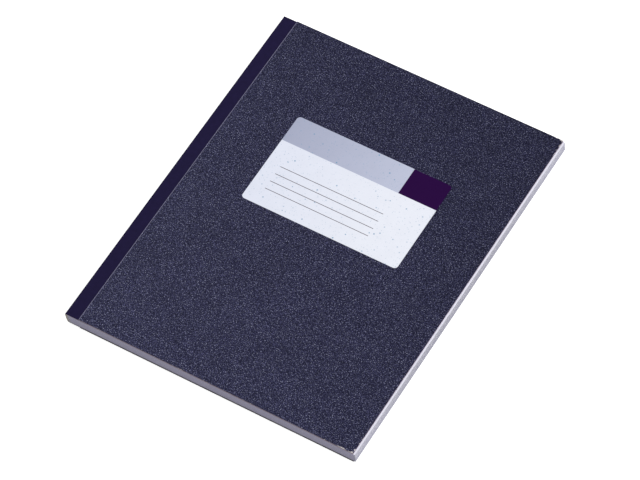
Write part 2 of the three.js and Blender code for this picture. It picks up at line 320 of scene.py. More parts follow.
def closed_sheet(upper, lower):
    """Points, faces and a rim mark of a thin closed piece. A face joins a grid point to its
    neighbours along the row and the column, and those of the lower grid run the other way.
    The rim joins the border of one grid to the border of the other."""
    rows, columns = upper.shape[:2]
    index = np.arange(rows * columns).reshape(rows, columns)
    corners = [index[:-1, :-1], index[:-1, 1:], index[1:, 1:], index[1:, :-1]]
    skin = np.stack(corners, -1).reshape(-1, 4)
    border = np.concatenate([index[0, :-1], index[:-1, -1], index[-1, :0:-1], index[:0:-1, 0]])
    ahead = np.roll(border, -1)
    under = rows * columns
    rim = np.stack([border + under, ahead + under, ahead, border], -1)
    points = np.concatenate([upper.reshape(-1, 3), lower.reshape(-1, 3)])
    faces = np.concatenate([skin, skin[:, ::-1] + under, rim])
    on_rim = np.repeat([0.0, 1.0], [2 * len(skin), len(rim)])
    return points, faces, on_rim


def make_piece(name, sheets, material, flat=None, tones=None):
    """One object of closed sheets. flat gives each point's place on the sheet laid flat, which is
    X and Y if left out, and tones gives each sheet's lightness."""
    starts = np.cumsum([0] + [len(points) for points, _, _ in sheets])
    points = np.concatenate([points for points, _, _ in sheets])
    faces = np.concatenate([faces + start for (_, faces, _), start in zip(sheets, starts)])
    counts = [len(faces) for _, faces, _ in sheets]
    tones = np.ones(len(sheets)) if tones is None else tones
    face_starts = np.arange(0, faces.size, faces.shape[1], dtype=np.int32)
    mesh = bpy.data.meshes.new(name)
    mesh.vertices.add(len(points))
    mesh.vertices.foreach_set("co", points.astype(np.float32).ravel())
    mesh.loops.add(faces.size)
    mesh.loops.foreach_set("vertex_index", faces.astype(np.int32).ravel())
    mesh.polygons.add(len(faces))
    mesh.polygons.foreach_set("loop_start", face_starts)
    mesh.update(calc_edges=True)
    flat = points[:, :2] if flat is None else flat
    layer = mesh.uv_layers.new(name="laid_flat")
    layer.data.foreach_set("uv", flat[faces.ravel()].astype(np.float32).ravel())
    rims = np.concatenate([rim for _, _, rim in sheets])
    for mark, values in (("rim", rims), ("sheet_tone", np.repeat(tones, counts))):
        attribute = mesh.attributes.new(mark, "FLOAT", "FACE")
        attribute.data.foreach_set("value", values.astype(np.float32))
    mesh.polygons.foreach_set("use_smooth", np.ones(len(faces), bool))
    mesh.set_sharp_from_angle(angle=SMOOTH_UP_TO)
    mesh.materials.append(material)
    piece = bpy.data.objects.new(name, mesh)
    bpy.context.scene.collection.objects.link(piece)
    return piece


def printed_bar_group():
    """A printed rectangle: the least distance inside its sides, over the softness of its edge."""
    inputs = {
        "Place": (0.0, 0.0, 0.0),
        "Left": 0.0,
        "Right": 1.0,
        "Low": 0.0,
        "High": 1.0,
        "Soft": 0.1 * MM,
    }
    group, given, made = start_group("printed_bar", inputs, ["Mask"])
    axes = add_node(group, "ShaderNodeSeparateXYZ", {0: given["Place"]})
    sides = [
        calculate(group, "SUBTRACT", axes.outputs["X"], given["Left"]),
        calculate(group, "SUBTRACT", given["Right"], axes.outputs["X"]),
        calculate(group, "SUBTRACT", axes.outputs["Y"], given["Low"]),
        calculate(group, "SUBTRACT", given["High"], axes.outputs["Y"]),
    ]
    least = sides[0]
    for side in sides[1:]:
        least = calculate(group, "MINIMUM", least, side)
    soft = calculate(group, "DIVIDE", least, given["Soft"])
    group.links.new(calculate(group, "ADD", soft, 0.5, clamp=True), made["Mask"])
    return group


printed_bar = printed_bar_group()


def bar_mask(tree, place, bar):
    """The mask of a printed bar, which is given as its left, right, low and high side."""
    left, right, low, high = bar
    sockets = {"Place": place, "Left": left, "Right": right, "Low": low, "High": high}
    return add_node(tree, "ShaderNodeGroup", sockets, node_tree=printed_bar).outputs["Mask"]


def ruled_paper():
    """Writing paper with pale feint lines between its margins. Its cut edges are darker and bluer,
    as painted shade of the spaces between the leaves, and at the fore edge it is greyed most at
    the middle."""
    material, tree, shader = start_material("ruled_paper", roughness=0.82)
    low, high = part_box(f"leaves_{FRONT_PACKS}")
    place = add_node(tree, "ShaderNodeUVMap", uv_map="laid_flat").outputs[0]
    axes = add_node(tree, "ShaderNodeSeparateXYZ", {0: place})
    line = calculate(tree, "DIVIDE", axes.outputs["Y"], RULING_PITCH)
    line = calculate(tree, "PINGPONG", line, 0.5)
    line = calculate(tree, "LESS_THAN", line, RULING_WIDTH / RULING_PITCH / 2)
    ruled = (low.x + LEAF_BEND, high.x - SIDE_MARGIN, low.y + TAIL_MARGIN, high.y - HEAD_MARGIN)
    line = calculate(tree, "MULTIPLY", line, bar_mask(tree, place, ruled))
    white_page = colour(236, 236, 238)
    feint_ink = colour(150, 170, 200)
    page = blend_colours(tree, line, white_page, feint_ink)
    rim = add_node(tree, "ShaderNodeAttribute", attribute_name="rim").outputs["Fac"]
    tone = add_node(tree, "ShaderNodeAttribute", attribute_name="sheet_tone").outputs["Fac"]
    from_middle = calculate(tree, "DIVIDE", axes.outputs["Y"], GREYING_REACH)
    greying = calculate(tree, "MULTIPLY", from_middle, from_middle)
    greying = calculate(tree, "SUBTRACT", 1.0, greying, clamp=True)
    greying = calculate(tree, "MULTIPLY_ADD", greying, -GREYING_DEPTH, 1.0)
    # The fore edge keeps each sheet's tone, without the painted shade along the bottom
    unshaded_tone = calculate(tree, "MAXIMUM", tone, DARKEST_SHEET_TONE)
    fore_edge = tint(tree, FORE_EDGE_GREY, calculate(tree, "MULTIPLY", unshaded_tone, greying))
    # Painted shade: the cut edges are darker and bluer than the page, for the shade between the
    # leaves
    other_edge = tint(tree, colour(206, 201, 231), tone)
    edge_start = high.x - FORE_EDGE_LEAN - TRIM_RADIUS
    at_fore_edge = calculate(tree, "GREATER_THAN", axes.outputs["X"], edge_start)
    cut = blend_colours(tree, at_fore_edge, other_edge, fore_edge)
    shade = blend_colours(tree, rim, page, cut)
    add_fibres(tree, shader, place, shade, contrast=0.05, relief=PAPER_RELIEF)
    return material


ruled_finish = ruled_paper()
for number in range(1, 2 * FRONT_PACKS + 1):
    node = f"leaves_{number:02d}"
    low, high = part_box(node)
    tops = high.z - np.arange(LEAVES_PER_PACK) * SHEET_PITCH
    start = low.x - FOLD_GAP
    sheets = []
    for top in tops:
        fore_edge = leaned_edge(high.x, top) - uneven.uniform(0, TRIM_UNEVEN)
        half_height = high.y - uneven.uniform(0, TRIM_UNEVEN)
        across, half = trimmed_columns(start, start + LEAF_BEND, fore_edge, half_height)
        upper = flat_grid(across, half, top)
        sheets.append(closed_sheet(upper, flat_grid(across, half, top - LEAF_THICKNESS)))
    tones = uneven.uniform(DARKEST_SHEET_TONE, 1.0, LEAVES_PER_PACK)
    # Painted shade along the bottom of the book: the leaves nearest the back board are darker
    above_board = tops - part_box("rear_flyleaf")[1].z
    tones *= 1 - BOTTOM_SHADE_STRENGTH * np.exp(-above_board / BOTTOM_SHADE_REACH)
    pack = make_piece(f"ruled_leaves_{number:02d}", sheets, ruled_finish, tones=tones)
    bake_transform(pack)
    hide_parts(node)


# Endpapers. A folded sheet of heavier white paper at each end of the block: one half is the free
# flyleaf, and the other half is pasted down inside the cover, over the edge of the cloth tape.
ENDPAPER_CLEARANCE = 0.004 * MM
JOINT_BEND_START = 0.15 * MM
JOINT_BEND_END = 1.35 * MM
joint_places = {joint["name"]: joint["pos_m"] for joint in frame["joints"]}


def white_endpaper(name, smear_and_shade):
    """Smooth white paper with a faint cloudy formation. Its cut edges at head and tail, where paper
    and boards are trimmed in one, take their own colour: at the front the pulp of the boards that
    the knife drags over them, and at the rear painted shade along the bottom of the book."""
    material, tree, shader = start_material(name, roughness=0.8)
    place = add_node(tree, "ShaderNodeUVMap", uv_map="laid_flat").outputs[0]
    axes = add_node(tree, "ShaderNodeSeparateXYZ", {0: place})
    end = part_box("front_pastedown")[1].y - TRIM_RADIUS
    from_middle = calculate(tree, "ABSOLUTE", axes.outputs["Y"])
    at_end = calculate(tree, "GREATER_THAN", from_middle, end)
    rim = add_node(tree, "ShaderNodeAttribute", attribute_name="rim").outputs["Fac"]
    rim_at_end = calculate(tree, "MULTIPLY", rim, at_end)
    shade = blend_colours(tree, rim_at_end, colour(242, 242, 254), smear_and_shade)
    add_fibres(tree, shader, place, shade, contrast=0.06, relief=PAPER_RELIEF)
    return material


def endpaper_half(name, node, fold_node, hinge, levels):
    """A sheet from the back of its fold to the trimmed fore edge, between two heights."""
    bottom, top = sorted(levels)
    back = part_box(fold_node)[0].x
    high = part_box(node)[1]
    fore_edge = leaned_edge(high.x, top)
    across, half = trimmed_columns(back, hinge[0] + JOINT_BEND_END, fore_edge, high.y)
    sheet = closed_sheet(flat_grid(across, half, top), flat_grid(across, half, bottom))
    return make_piece(name, [sheet], endpaper_finishes[name.split("_")[0]])


def bend_at_hinge(piece, hinge, moving):
    """Bakes the piece's place into its points. It also lists the two ends of a bend at the hinge,
    at the block and on the moving body, with the one further to the front first, but nothing uses
    them."""
    ends = [
        ("text_block", (hinge[0] + JOINT_BEND_START, 0, hinge[2])),
        (moving, (hinge[0] + JOINT_BEND_END, 0, hinge[2])),
    ]
    if moving.startswith("front"):
        ends.reverse()
    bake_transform(piece)


endpaper_finishes = {
    "front": white_endpaper("front_endpaper", colour(186, 168, 180)),
    # At the rear the cut edges are painted dark: painted shade along the bottom of the book
    "rear": white_endpaper("rear_endpaper", colour(48, 42, 50)),
}
for side, outward, cover in (("front", 1, "front_cover"), ("rear", -1, "back_cover")):
    hinge = joint_places[f"{side}_hinge"]
    fold_node = f"{side}_endpaper_fold"
    low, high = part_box(fold_node)
    outer, inner = (high.z, low.z) if outward > 0 else (low.z, high.z)
    clearance = outward * ENDPAPER_CLEARANCE
    pasted_node = cover.replace("cover", "pastedown")
    levels = (hinge[2] + clearance, outer)
    pasted = endpaper_half(f"{side}_pasted_endpaper", pasted_node, fold_node, hinge, levels)
    bend_at_hinge(pasted, hinge, cover)
    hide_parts(pasted_node, fold_node)
    flyleaf = f"{side}_flyleaf"
    levels = (hinge[2] - clearance, inner)
    free = endpaper_half(f"{side}_free_endpaper", flyleaf, fold_node, hinge, levels)
    bend_at_hinge(free, hinge, flyleaf)
    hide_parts(flyleaf)


# Spine glue. A film of white binding glue brushed over the sewn folds, which dries yellowish and
# glossy, with the strokes of the brush along the spine. The cloth tape is pressed into it.
BRUSH_STROKES = 900
STROKE_STRETCH = (1.0, 0.06, 1.0)
STROKE_DEPTH = 0.04 * MM


def binding_glue():
    """Brush strokes as noise that is drawn out along the spine, with painted shade between
    the strokes and painted light on the raised ones.
    """
    material, tree, shader = start_material("binding_glue", roughness=0.3)
    place = add_node(tree, "ShaderNodeTexCoord").outputs["Object"]
    drawn = add_node(tree, "ShaderNodeMapping", {"Vector": place, "Scale": STROKE_STRETCH})
    sockets = {"Vector": drawn.outputs[0], "Scale": BRUSH_STROKES}
    strokes = add_node(tree, "ShaderNodeTexNoise", sockets)
    # Painted shade between the strokes and painted light on the raised ones
    painted_shade_between_strokes = colour(198, 184, 140)
    painted_light_on_strokes = colour(234, 226, 196)
    shade = blend_colours(tree, strokes.outputs["Fac"], painted_shade_between_strokes, painted_light_on_strokes)
    tree.links.new(shade, shader.inputs["Base Color"])
    raise_surface(tree, shader, strokes.outputs["Fac"], STROKE_DEPTH)
    return material


finish_node("spine_glue", binding_glue())


# Cloth tape. One strip of dark indigo book cloth, glued round the spine and onto the inside of
# both boards. It is woven, matt and very thin, and the sections press faintly through it.
TAPE_THICKNESS = 0.2 * MM
SHOULDER_WIDTH = 0.45 * MM
SHOULDER_HEIGHT = 0.3 * MM
SECTION_RELIEF = 0.03 * MM
WEAVE_REPEAT = 0.34 * MM
WEAVE_DEPTH = 0.03 * MM
# The fuzz on the cloth: its noise, how much it changes the tone, and its height beside the weave's
FUZZ_SCALE = 420.0
FUZZ_CONTRAST = 0.5
FUZZ_HEIGHT = 0.6
TAPE_ROWS = 5
FLAP_COLUMNS = 60
SHOULDER_COLUMNS = 12
SPINE_COLUMNS = 48


def tape_line(depth):
    """The section of the tape at a depth below its outer face, from the rear flap round to the
    front flap: straight flaps, a quarter ellipse at each shoulder, and the spine, a parabola
    that stands upright at the front and leans in towards the rear, with a wave for each fold."""
    front, rear = joint_places["front_hinge"], joint_places["rear_hinge"]
    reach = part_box("front_tape_flap")[1].x
    turn = np.linspace(0, math.pi / 2, SHOULDER_COLUMNS)
    flap = np.linspace(0, 1, FLAP_COLUMNS)[:-1] ** 2
    across, up = SHOULDER_WIDTH - depth, SHOULDER_HEIGHT - depth
    height = np.linspace(rear[2], front[2], SPINE_COLUMNS)[1:-1]
    below = (front[2] - height) / (front[2] - rear[2])
    waves = 2 * math.pi * SECTIONS * (height - rear[2]) / (front[2] - rear[2])
    ribs = np.cos(waves) * SECTION_RELIEF / 2
    lean = (rear[0] - front[0]) * below**2
    spine = front[0] - SHOULDER_WIDTH + lean + depth + ribs + SECTION_RELIEF / 2
    rear_x = [reach + (rear[0] - reach) * (1 - flap[::-1]), rear[0] - across * np.sin(turn[1:])]
    front_x = [front[0] - across * np.cos(turn), front[0] + (reach - front[0]) * flap[1:]]
    x = np.concatenate([*rear_x, spine, *front_x, [reach]])
    rear_z = [np.full(FLAP_COLUMNS - 1, rear[2] - up), rear[2] - up * np.cos(turn[1:])]
    front_z = [front[2] + up * np.sin(turn), np.full(FLAP_COLUMNS - 1, front[2] + up)]
    z = np.concatenate([*rear_z, height, *front_z])
    return x, z


def woven_cloth():
    """Plain weave: a wave across the cloth times a wave along it, so that warp and weft come to the
    top in turn, darker between the threads as painted shade, with a noise for the fuzz."""
    material, tree, shader = start_material("woven_cloth", roughness=0.85)
    place = add_node(tree, "ShaderNodeUVMap", uv_map="laid_flat").outputs[0]
    axes = add_node(tree, "ShaderNodeSeparateXYZ", {0: place})
    turns = 2 * math.pi / WEAVE_REPEAT
    warp = calculate(tree, "SINE", calculate(tree, "MULTIPLY", axes.outputs["X"], turns))
    weft = calculate(tree, "SINE", calculate(tree, "MULTIPLY", axes.outputs["Y"], turns))
    weave = calculate(tree, "MULTIPLY", warp, weft)
    weave = calculate(tree, "MULTIPLY_ADD", weave, 0.5, 0.5)
    sockets = {"Vector": place, "Scale": FUZZ_SCALE, "Detail": 6.0}
    fuzz = add_node(tree, "ShaderNodeTexNoise", sockets).outputs["Fac"]
    # Painted shade between the threads
    painted_shade_between_threads = colour(22, 16, 46)
    top_of_threads = colour(35, 29, 67)
    shade = blend_colours(tree, weave, painted_shade_between_threads, top_of_threads)
    tone = calculate(tree, "MULTIPLY_ADD", fuzz, FUZZ_CONTRAST, 1 - FUZZ_CONTRAST / 2)
    tree.links.new(tint(tree, shade, tone), shader.inputs["Base Color"])
    height = calculate(tree, "MULTIPLY_ADD", fuzz, FUZZ_HEIGHT, weave)
    raise_surface(tree, shader, height, WEAVE_DEPTH)
    shader.inputs["Specular IOR Level"].default_value = 0.1
    return material


cloth_finish = woven_cloth()
outer_x, outer_z = tape_line(0.0)
inner_x, inner_z = tape_line(TAPE_THICKNESS)
laid = np.concatenate([[0], np.cumsum(np.hypot(np.diff(outer_x), np.diff(outer_z)))])
# A piece bends between two bodies only, so the strip is two halves that meet behind the spine
middle = len(outer_x) // 2
halves = {"rear": slice(0, middle + 1), "front": slice(middle, len(outer_x))}
for side, cover in (("rear", "back_cover"), ("front", "front_cover")):
    part = halves[side]
    low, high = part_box("spine_tape")
    rows = np.linspace(low.y, high.y, TAPE_ROWS)
    y = np.broadcast_to(rows[:, None], (TAPE_ROWS, len(laid[part])))
    grids = []
    for line in ((outer_x, outer_z), (inner_x, inner_z)):
        x, z = [np.broadcast_to(values[part], y.shape) for values in line]
        grids.append(np.stack([x, y, z], -1))
    flat = np.stack([np.broadcast_to(laid[part], y.shape), y], -1).reshape(-1, 2)
    flat = np.concatenate([flat, flat])
    tape = make_piece(f"{side}_cloth_tape", [closed_sheet(*grids)], cloth_finish, flat=flat)
    bend_at_hinge(tape, joint_places[f"{side}_hinge"], cover)
    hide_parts(*(["front_tape_flap", "spine_tape"] if side == "front" else ["back_tape_flap"]))


# Boards. Solid millboard, pressed over the edge of the tape and trimmed flush with the leaves at
# head and tail, so that a thin line of its pulp shows between the covering and the paper. It is
# pale at the front, and painted dark at the back as painted shade along the bottom of the book.
PULP_SPECKS = 1800
SPECK_LAYERS = (1.0, 1.0, 4.0)
PULP_DEPTH = 0.05 * MM


def pulp_board(name, dark, light):
    """Specks between a dark and a light shade, flattened into layers."""
    material, tree, shader = start_material(name, roughness=0.95)
    place = add_node(tree, "ShaderNodeTexCoord").outputs["Object"]
    layers = add_node(tree, "ShaderNodeMapping", {"Vector": place, "Scale": SPECK_LAYERS})
    sockets = {"Vector": layers.outputs[0], "Scale": PULP_SPECKS, "Detail": 3.0}
    pulp = add_node(tree, "ShaderNodeTexNoise", sockets)
    shade = blend_colours(tree, pulp.outputs["Fac"], dark, light)
    tree.links.new(shade, shader.inputs["Base Color"])
    raise_surface(tree, shader, pulp.outputs["Fac"], PULP_DEPTH)
    return material


finish_node("front_board", pulp_board("pulp_board", colour(142, 129, 142), colour(208, 194, 210)))
# The back board is painted dark: painted shade where the book lies on the floor
finish_node("back_board", pulp_board("soiled_board", colour(18, 15, 20), colour(50, 43, 50)))


# Coverings. Dark navy paper on each board, embossed by a roller with a fine leather grain and
# lacquered to a satin sheen. It is cut with the board, so its cut edges show a brown core, and the
# lacquer beside them is chipped to the pale paper.
GRAIN_STEP = 0.62 * MM
GRAIN_CELL = 1.25 * MM
GRAIN_DEPTH = 0.045 * MM
GRAIN_STEEPNESS = 1.6
# An edge is rounded over this width, and down by this share of it
EDGE_ROUND = 0.1 * MM
EDGE_DROP = 0.9
EDGE_STEPS = np.array([0.0, 0.04, 0.1]) * MM
CORNER_STEPS = np.linspace(0.2, math.pi / 2, 6)
# A pebble or a painted glint shows where its noise passes the floor, and grows by its gain
PEBBLE_SCALE = 2700
PEBBLE_WAVER = 0.4
PEBBLE_FLOOR = 0.4
PEBBLE_GAIN = 3.2
PEBBLE_POWER = 2.6
PEBBLE_DEPTH = 0.06 * MM
GLINT_SCALE = 1900
GLINT_FLOOR = 0.66
GLINT_GAIN = 6.0
CREASE_ROUGHNESS = 0.5
PEBBLE_ROUGHNESS = 0.38
# The tone of the lacquer: clouds on a ground, and the change over a metre of a painted sheen,
# which falls off towards the fore edge and the head
CLOUD_SCALE = 60.0
CLOUD_CONTRAST = 0.3
LACQUER_TONE = 0.69
SHEEN_FALLOFF_TO_FORE_EDGE = -1.1
SHEEN_FALLOFF_TO_HEAD = -1.2
# Chips reach in by a gain over what the noise has above the spared share, and end softly. They
# reach further and spare less within the wear of a corner.
CHIP_GAIN = 6.0
CHIP_SOFTNESS = 0.3
REACH_AT_EDGE = 0.3 * MM
REACH_AT_CORNER = 1.0 * MM
SPARED_AT_EDGE = 0.6
SPARED_AT_CORNER = 0.5
CORNER_WEAR = 30 * MM
TAPE_STRIP_WIDTH = 0.45 * MM


def leather_grain(x, y, seed):
    """Heights from 0 in the creases to 1 on the pebbles. One point is scattered in each square
    cell, and the height is the distance to the second nearest point less that to the nearest."""
    column, row = np.floor(x / GRAIN_CELL).astype(int), np.floor(y / GRAIN_CELL).astype(int)
    column, row = column - column.min() + 1, row - row.min() + 1
    rng = np.random.default_rng(seed)
    scatter = rng.random((row.max() + 2, column.max() + 2, 2))
    inside = np.stack([x, y], -1) / GRAIN_CELL % 1
    near = np.full(x.shape, np.inf)
    second = near.copy()
    for across in (-1, 0, 1):
        for along in (-1, 0, 1):
            point = scatter[row + along, column + across] + (across, along)
            distance = np.hypot(*np.moveaxis(point - inside, -1, 0))
            second = np.minimum(second, np.maximum(near, distance))
            near = np.minimum(near, distance)
    return np.clip((second - near) * GRAIN_STEEPNESS, 0, 1)


def worn_edge_group():
    """Chips along an edge: a slow noise sets how far each chip reaches in from the edge."""
    inputs = {
        "Place": (0.0, 0.0, 0.0),
        "Distance": 0.0,
        "Reach": REACH_AT_EDGE,
        "Chip Scale": 500.0,
        "Spared": SPARED_AT_EDGE,
    }
    group, given, made = start_group("worn_edge", inputs, ["Mask"])
    sockets = {"Vector": given["Place"], "Scale": given["Chip Scale"], "Detail": 5.0}
    noise = add_node(group, "ShaderNodeTexNoise", sockets)
    reach = calculate(group, "SUBTRACT", noise.outputs["Fac"], given["Spared"])
    reach = calculate(group, "MULTIPLY", reach, CHIP_GAIN)
    reach = calculate(group, "MULTIPLY", reach, given["Reach"])
    inside = calculate(group, "SUBTRACT", reach, given["Distance"])
    softness = calculate(group, "MULTIPLY", given["Reach"], CHIP_SOFTNESS)
    group.links.new(calculate(group, "DIVIDE", inside, softness, clamp=True), made["Mask"])
    return group


worn_edge = worn_edge_group()


def grained_covering():
    """Fine pebbles: a noise cut off below, so that pale tops stand on dark ground, over the relief,
    as painted light on the tops and painted shade in the creases. Painted glints light the few
    pebbles that stand highest, and a painted sheen makes it evenly lighter towards the spine and
    the tail and darker towards the head and the fore edge."""
    material, tree, shader = start_material("grained_covering", CREASE_ROUGHNESS)
    low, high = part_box("front_covering")
    place = add_node(tree, "ShaderNodeTexCoord").outputs["Object"]
    axes = add_node(tree, "ShaderNodeSeparateXYZ", {0: place})
    sockets = {"Vector": place, "Scale": PEBBLE_SCALE, "Detail": 1.0, "Distortion": PEBBLE_WAVER}
    pebble = add_node(tree, "ShaderNodeTexNoise", sockets)
    pebble = calculate(tree, "SUBTRACT", pebble.outputs["Fac"], PEBBLE_FLOOR)
    pebble = calculate(tree, "MULTIPLY", pebble, PEBBLE_GAIN, clamp=True)
    height = calculate(tree, "POWER", pebble, PEBBLE_POWER)
    sockets = {"Vector": place, "Scale": GLINT_SCALE, "Detail": 0.0}
    glint = add_node(tree, "ShaderNodeTexNoise", sockets)
    glint = calculate(tree, "SUBTRACT", glint.outputs["Fac"], GLINT_FLOOR)
    glint = calculate(tree, "MULTIPLY", glint, GLINT_GAIN, clamp=True)
    # Painted light on the pebble tops and painted shade in the creases between them
    painted_crease_shade = colour(11, 11, 39)
    painted_light_on_pebbles = colour(109, 110, 155)
    # Painted glints on the few highest pebbles
    painted_glint = colour(162, 165, 194)
    shade = blend_colours(tree, height, painted_crease_shade, painted_light_on_pebbles)
    shade = blend_colours(tree, glint, shade, painted_glint)

    sockets = {"Vector": place, "Scale": CLOUD_SCALE, "Detail": 2.0}
    cloud = add_node(tree, "ShaderNodeTexNoise", sockets)
    tone = calculate(tree, "MULTIPLY_ADD", cloud.outputs["Fac"], CLOUD_CONTRAST, LACQUER_TONE)
    # Painted sheen: lighter towards the spine and the tail, darker towards the fore edge and head
    tone = calculate(tree, "MULTIPLY_ADD", axes.outputs["X"], SHEEN_FALLOFF_TO_FORE_EDGE, tone)
    tone = calculate(tree, "MULTIPLY_ADD", axes.outputs["Y"], SHEEN_FALLOFF_TO_HEAD, tone)
    shade = tint(tree, shade, tone)

    from_middle = calculate(tree, "ABSOLUTE", axes.outputs["Y"])
    from_end = calculate(tree, "SUBTRACT", high.y, from_middle)
    from_fore = calculate(tree, "SUBTRACT", high.x, axes.outputs["X"])
    distance = calculate(tree, "MINIMUM", from_end, from_fore)
    from_corner = calculate(tree, "ADD", from_end, from_fore)
    corner = calculate(tree, "MULTIPLY_ADD", from_corner, -1 / CORNER_WEAR, 1.0, clamp=True)
    more_reach = REACH_AT_CORNER - REACH_AT_EDGE
    reach = calculate(tree, "MULTIPLY_ADD", corner, more_reach, REACH_AT_EDGE)
    more_spared = SPARED_AT_CORNER - SPARED_AT_EDGE
    spared = calculate(tree, "MULTIPLY_ADD", corner, more_spared, SPARED_AT_EDGE)
    sockets = {"Place": place, "Distance": distance, "Reach": reach, "Spared": spared}
    wear = add_node(tree, "ShaderNodeGroup", sockets, node_tree=worn_edge)
    chipped = colour(206, 200, 202)
    shade = blend_colours(tree, wear.outputs["Mask"], shade, chipped)
    # A pale strip along the edge at the tape
    from_tape = calculate(tree, "SUBTRACT", axes.outputs["X"], low.x)
    cut = calculate(tree, "MULTIPLY_ADD", from_tape, -1 / TAPE_STRIP_WIDTH, 1.0, clamp=True)
    pale_strip_at_tape = colour(150, 148, 176)
    shade = blend_colours(tree, cut, shade, pale_strip_at_tape)
    rim = add_node(tree, "ShaderNodeAttribute", attribute_name="rim").outputs["Fac"]
    brown_core = colour(116, 84, 88)
    shade = blend_colours(tree, rim, shade, brown_core)
    tree.links.new(shade, shader.inputs["Base Color"])

    smoother = PEBBLE_ROUGHNESS - CREASE_ROUGHNESS
    rough = calculate(tree, "MULTIPLY_ADD", height, smoother, CREASE_ROUGHNESS)
    tree.links.new(rough, shader.inputs["Roughness"])
    shader.inputs["Specular IOR Level"].default_value = 0.1
    raise_surface(tree, shader, height, PEBBLE_DEPTH)
    return material


def grained_grid(across, along, half, height, depth, seed):
    """A level grid pressed in by the grain, and rounded down by a quarter circle at its edges."""
    share = (along / along.max())[:, None]
    x = np.broadcast_to(across, (len(along), len(across)))
    y = share * half
    inward = np.minimum(half - np.abs(y), np.minimum(x - across[0], across[-1] - x)) / EDGE_ROUND
    edge = 1 - np.sqrt(1 - (1 - np.clip(inward, 0, 1)) ** 2)
    pressed = (1 - leather_grain(x, y, seed)) * abs(depth) + edge * EDGE_ROUND * EDGE_DROP
    return np.stack([x, y, height - np.sign(depth) * pressed], -1)


covering_finish = grained_covering()
for side, outward, seed in (("front", 1, 3), ("back", -1, 4)):
    node = f"{side}_covering"
    low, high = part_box(node)
    inner = np.arange(low.x + GRAIN_STEP, high.x - TRIM_RADIUS, GRAIN_STEP)
    corner = high.x - TRIM_RADIUS + TRIM_RADIUS * np.sin(CORNER_STEPS)
    across = np.concatenate([low.x + EDGE_STEPS, inner, corner])
    round_part = np.clip((across - (high.x - TRIM_RADIUS)) / TRIM_RADIUS, 0, 1)
    half = high.y - TRIM_RADIUS * (1 - np.sqrt(1 - round_part**2))
    middle = np.arange(low.y + GRAIN_STEP, high.y - GRAIN_STEP / 2, GRAIN_STEP)
    along = np.concatenate([low.y + EDGE_STEPS, middle, (high.y - EDGE_STEPS)[::-1]])
    outer_z, inner_z = (high.z, low.z) if outward > 0 else (low.z, high.z)
    outer = grained_grid(across, along, half, outer_z, outward * GRAIN_DEPTH, seed)
    inner_face = outer.copy()
    inner_face[:, :, 2] = inner_z
    grids = (outer, inner_face) if outward > 0 else (inner_face, outer)
    covering = make_piece(f"{side}_grained_covering", [closed_sheet(*grids)], covering_finish)
    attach(covering, f"{side}_cover")
    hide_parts(node)


# Title label. A die cut label of bluish recycled paper with blue flecks, printed with a grey band,
# a dark block and four writing lines, and glued on the front covering.
BAND_HEIGHT = 16.7 * MM
BLOCK_WIDTH = 22 * MM
LINES_FROM_LEFT = 7.9 * MM
LINES_LENGTH = 60 * MM
FIRST_LINE_DOWN = 31.4 * MM
LINE_SPACING = 5 * MM
LINE_WIDTH = 0.32 * MM
WRITING_LINES = 4
SMALL_FLECK_STRENGTH = 0.45
# The band and the block are printed this far past the cut
BLEED = 1 * MM


def flecks(tree, place, scale, size, share):
    """Small flat spots of many strengths: the distance to the nearest of scattered points, cut off
    at the spot's size and full up to half of it, with a share of the points chosen at random."""
    cells = add_node(tree, "ShaderNodeTexVoronoi", {"Vector": place, "Scale": scale})
    distance = cells.outputs["Distance"]
    spot = calculate(tree, "MULTIPLY_ADD", distance, -2 / size, 2.0, clamp=True)
    random = add_node(tree, "ShaderNodeSeparateColor", {0: cells.outputs["Color"]})
    chosen = calculate(tree, "LESS_THAN", random.outputs[0], share)
    strength = calculate(tree, "MULTIPLY", chosen, random.outputs[1])
    return calculate(tree, "MULTIPLY", spot, strength)


